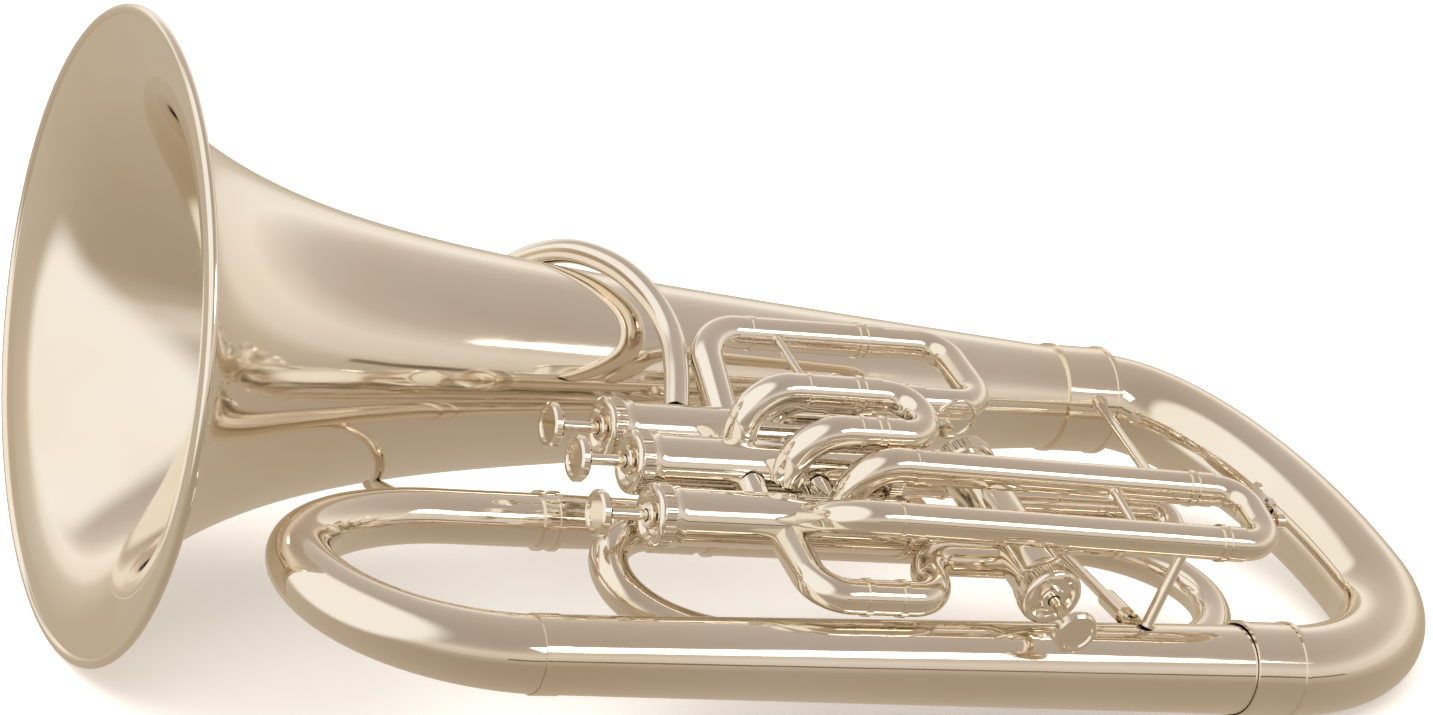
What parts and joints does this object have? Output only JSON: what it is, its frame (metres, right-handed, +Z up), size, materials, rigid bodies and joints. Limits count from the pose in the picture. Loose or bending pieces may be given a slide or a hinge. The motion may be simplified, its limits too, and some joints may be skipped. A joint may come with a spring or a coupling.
{
  "type": "tuba",
  "caption": "Silver-plated compensating tenor tuba with top-action piston valves, a side valve, slides and a wide bell.",
  "frame": {"origin": "middle of the underside of the part's bounding box, as the horn lies on its back on the floor", "axes": "+X from the bell towards the bottom bow, +Y towards the side that faces away from the outer branch, +Z up"},
  "size_m": [0.6536, 0.4096, 0.3015],
  "materials": {
    "silver_plate": "polished silver plate, slightly warm",
    "piston_nickel": "lapped nickel plate, oiled",
    "steel": "drawn spring wire",
    "felt": "dense black felt",
    "cork": "fine natural cork"
  },
  "bodies": {
    "horn": {"bell_flare": "silver_plate", "bell_body": "silver_plate", "bell_tail": "silver_plate", "rim_wire": "steel", "throat_ferrule": "silver_plate", "bottom_bow": "silver_plate", "bow_ferrule": "silver_plate", "outer_branch": "silver_plate", "top_bow": "silver_plate", "top_bow_ferrules": "silver_plate", "inner_leg": "silver_plate", "small_bow": "silver_plate", "tuning_tubes": "silver_plate", "casing_1": "silver_plate", "casing_2": "silver_plate", "casing_3": "silver_plate", "casing_4": "silver_plate", "top_caps": "silver_plate", "bottom_caps": "silver_plate", "cap_felts": "felt", "spring_1": "steel", "spring_2": "steel", "spring_3": "steel", "spring_4": "steel", "knuckles": "silver_plate", "link_loop": "silver_plate", "slide_tubes_1": "silver_plate", "slide_tubes_2": "silver_plate", "slide_tubes_3": "silver_plate", "slide_tubes_4": "silver_plate", "comp_tubes": "silver_plate", "leadpipe": "silver_plate", "receiver": "silver_plate", "braces": "silver_plate", "branch_stays": "silver_plate", "key_seat_main": "silver_plate", "key_pin_main": "steel"},
    "valve_1": {"piston_1": "piston_nickel", "button_1": "silver_plate"},
    "valve_2": {"piston_2": "piston_nickel", "button_2": "silver_plate"},
    "valve_3": {"piston_3": "piston_nickel", "button_3": "silver_plate"},
    "valve_4": {"piston_4": "piston_nickel", "button_4": "silver_plate"},
    "tuning_slide": {"tuning_crook": "silver_plate", "tuning_legs": "silver_plate"},
    "slide_1": {"slide_crook_1": "silver_plate"},
    "slide_2": {"slide_crook_2": "silver_plate", "pull_ring": "silver_plate"},
    "slide_3": {"slide_crook_3": "silver_plate", "key_seat_third": "silver_plate", "key_pin_third": "steel"},
    "slide_4": {"slide_crook_4": "silver_plate"},
    "comp_1": {"comp_crook_1": "silver_plate"},
    "comp_2": {"comp_crook_2": "silver_plate"},
    "key_main": {"key_lever_main": "silver_plate", "key_cork_main": "cork"},
    "key_third": {"key_lever_third": "silver_plate", "key_cork_third": "cork"}
  },
  "joints": [
    {"name": "valve_1_slide", "type": "slide", "parent": "horn", "child": "valve_1", "axis": [0.9884, 0, -0.1517], "range_m": [0, 0.017], "stiffness_N_per_m": 60, "springref_m": -0.05, "deforming": ["spring_1"]},
    {"name": "valve_2_slide", "type": "slide", "parent": "horn", "child": "valve_2", "axis": [0.9884, 0, -0.1517], "range_m": [0, 0.017], "stiffness_N_per_m": 60, "springref_m": -0.05, "deforming": ["spring_2"]},
    {"name": "valve_3_slide", "type": "slide", "parent": "horn", "child": "valve_3", "axis": [0.9884, 0, -0.1517], "range_m": [0, 0.017], "stiffness_N_per_m": 60, "springref_m": -0.05, "deforming": ["spring_3"]},
    {"name": "valve_4_slide", "type": "slide", "parent": "horn", "child": "valve_4", "axis": [0.0289, 0.9816, 0.1886], "range_m": [0, 0.017], "stiffness_N_per_m": 60, "springref_m": -0.05, "deforming": ["spring_4"]},
    {"name": "tuning_pull", "type": "slide", "parent": "horn", "child": "tuning_slide", "axis": [-0.9884, 0, 0.1517], "range_m": [0, 0.045]},
    {"name": "slide_1_pull", "type": "slide", "parent": "horn", "child": "slide_1", "axis": [0.9884, 0, -0.1517], "range_m": [0, 0.03]},
    {"name": "slide_2_pull", "type": "slide", "parent": "horn", "child": "slide_2", "axis": [0.9884, 0, -0.1517], "range_m": [0, 0.008]},
    {"name": "slide_3_pull", "type": "slide", "parent": "horn", "child": "slide_3", "axis": [0.9866, -0.0377, -0.1588], "range_m": [0, 0.06]},
    {"name": "slide_4_pull", "type": "slide", "parent": "horn", "child": "slide_4", "axis": [0.9884, 0, -0.1517], "range_m": [0, 0.02]},
    {"name": "comp_1_pull", "type": "slide", "parent": "horn", "child": "comp_1", "axis": [0.9884, 0, -0.1517], "range_m": [0, 0.012]},
    {"name": "comp_2_pull", "type": "slide", "parent": "horn", "child": "comp_2", "axis": [0.9884, 0, -0.1517], "range_m": [0, 0.012]},
    {"name": "key_main_hinge", "type": "hinge", "parent": "horn", "child": "key_main", "pos_m": [0.11207, -0.12651, 0.02996], "axis": [0.1406, 0.3746, 0.9165], "range_deg": [0, 12], "stiffness_Nm_per_rad": 0.03, "springref_deg": -34.38},
    {"name": "key_third_hinge", "type": "hinge", "parent": "slide_3", "child": "key_third", "pos_m": [0.21338, -0.1376, 0.09836], "axis": [0.1489, -0.1908, 0.9703], "range_deg": [0, 12], "stiffness_Nm_per_rad": 0.03, "springref_deg": -34.38}
  ]
}
